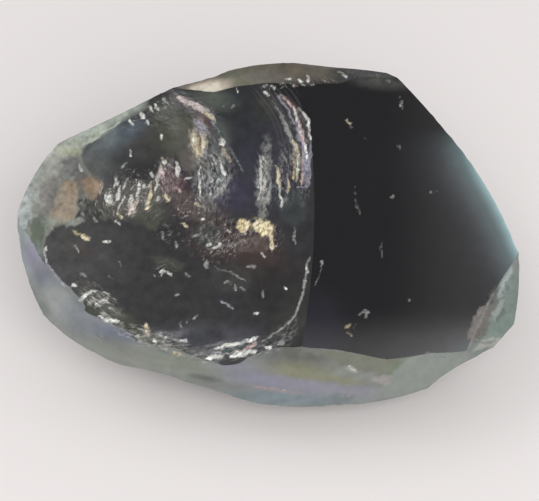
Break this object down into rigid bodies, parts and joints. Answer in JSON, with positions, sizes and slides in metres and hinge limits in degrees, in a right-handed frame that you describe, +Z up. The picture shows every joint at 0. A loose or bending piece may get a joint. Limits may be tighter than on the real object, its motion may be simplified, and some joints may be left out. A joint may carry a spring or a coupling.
{
  "type": "tektite",
  "caption": "Broken lump of black natural glass with a smooth flat face, a rippled domed face and thin translucent edges.",
  "frame": {"origin": "middle of the outline seen from above, at the level of the flat patch it rests on", "axes": "+Z up, +X along the length towards the end with the smooth flat face, +Y towards the high back edge"},
  "size_m": [0.0618, 0.0416, 0.0232],
  "materials": {
    "natural_glass": "glossy"
  },
  "bodies": {
    "root": {"tektite": "natural_glass"}
  },
  "joints": []
}
